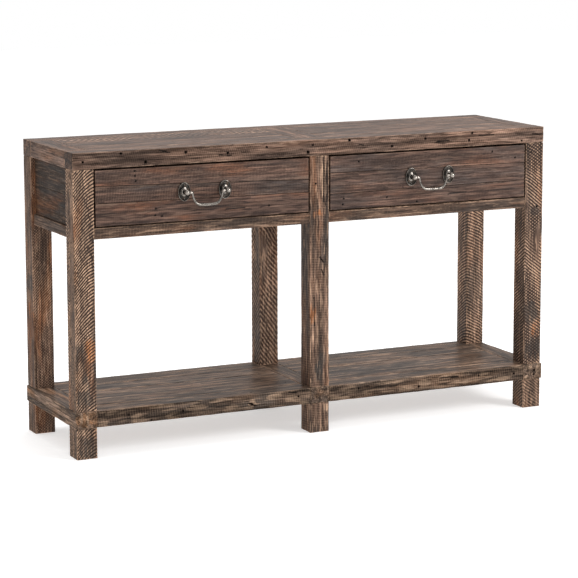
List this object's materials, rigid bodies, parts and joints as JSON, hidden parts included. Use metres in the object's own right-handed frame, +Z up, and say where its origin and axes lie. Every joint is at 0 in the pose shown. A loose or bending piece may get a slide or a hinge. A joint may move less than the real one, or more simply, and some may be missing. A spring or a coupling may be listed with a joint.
{
  "type": "console table",
  "caption": "Narrow console table in thick reclaimed boards: square legs, low slatted shelf, and side-by-side drawers with hanging bail pulls.",
  "frame": {"origin": "on the floor, under the centre of the whole table's box, handles included", "axes": "+X along the table's length to the right as the drawers are faced, +Y from the drawers to the back, +Z up"},
  "size_m": [1.431, 0.4118, 0.813],
  "materials": {
    "top_boards": "worn, waxed, soft sheen",
    "frame_timber": "dark stain over saw marks, worn edges",
    "drawer_fronts": "dark red-brown stain, worn",
    "shelf_boards": "dark stain, dry and worn",
    "inner_softwood": "bare softwood",
    "iron": "dark, rubbed bright on high spots"
  },
  "bodies": {
    "frame": {"leg_front_left": "frame_timber", "foot_front_left": "frame_timber", "leg_front_centre": "frame_timber", "foot_front_centre": "frame_timber", "leg_front_right": "frame_timber", "foot_front_right": "frame_timber", "leg_back_left": "frame_timber", "foot_back_left": "frame_timber", "leg_back_centre": "frame_timber", "foot_back_centre": "frame_timber", "leg_back_right": "frame_timber", "foot_back_right": "frame_timber", "front_rail_left": "frame_timber", "back_rail_left": "frame_timber", "side_rail_left": "frame_timber", "side_panel_left": "frame_timber", "back_panel_left": "frame_timber", "front_rail_right": "frame_timber", "back_rail_right": "frame_timber", "side_rail_right": "frame_timber", "side_panel_right": "frame_timber", "back_panel_right": "frame_timber", "shelf_plank_front_left": "shelf_boards", "shelf_plank_rear_left": "shelf_boards", "shelf_front_board_left": "shelf_boards", "shelf_back_board_left": "shelf_boards", "shelf_plank_front_right": "shelf_boards", "shelf_plank_rear_right": "shelf_boards", "shelf_front_board_right": "shelf_boards", "shelf_back_board_right": "shelf_boards", "shelf_cross_left": "shelf_boards", "shelf_cross_centre": "shelf_boards", "shelf_cross_right": "shelf_boards", "top_front_border": "top_boards", "top_back_border": "top_boards", "top_end_left": "top_boards", "top_end_right": "top_boards", "top_centre_board": "top_boards", "top_panel_left": "top_boards", "top_panel_right": "top_boards", "runner_left": "inner_softwood", "runner_centre": "inner_softwood", "runner_right": "inner_softwood", "drawer_divider": "inner_softwood"},
    "drawer_left": {"drawer_left_front": "drawer_fronts", "drawer_left_outer_side": "inner_softwood", "drawer_left_inner_side": "inner_softwood", "drawer_left_back": "inner_softwood", "drawer_left_bottom": "inner_softwood", "handle_left_post_outer": "iron", "handle_left_post_inner": "iron"},
    "drawer_right": {"drawer_right_front": "drawer_fronts", "drawer_right_outer_side": "inner_softwood", "drawer_right_inner_side": "inner_softwood", "drawer_right_back": "inner_softwood", "drawer_right_bottom": "inner_softwood", "handle_right_post_outer": "iron", "handle_right_post_inner": "iron"},
    "bail_left": {"handle_left_bail": "iron"},
    "bail_right": {"handle_right_bail": "iron"}
  },
  "joints": [
    {"name": "drawer_left_slide", "type": "slide", "parent": "frame", "child": "drawer_left", "axis": [0, -1, 0], "range_m": [0, 0.24]},
    {"name": "drawer_right_slide", "type": "slide", "parent": "frame", "child": "drawer_right", "axis": [0, -1, 0], "range_m": [0, 0.24]},
    {"name": "bail_left_swing", "type": "hinge", "parent": "drawer_left", "child": "bail_left", "pos_m": [-0.34175, -0.1994, 0.694], "axis": [-1, 0, 0], "range_deg": [-24, 200]},
    {"name": "bail_right_swing", "type": "hinge", "parent": "drawer_right", "child": "bail_right", "pos_m": [0.34175, -0.1994, 0.694], "axis": [-1, 0, 0], "range_deg": [-24, 200]}
  ]
}
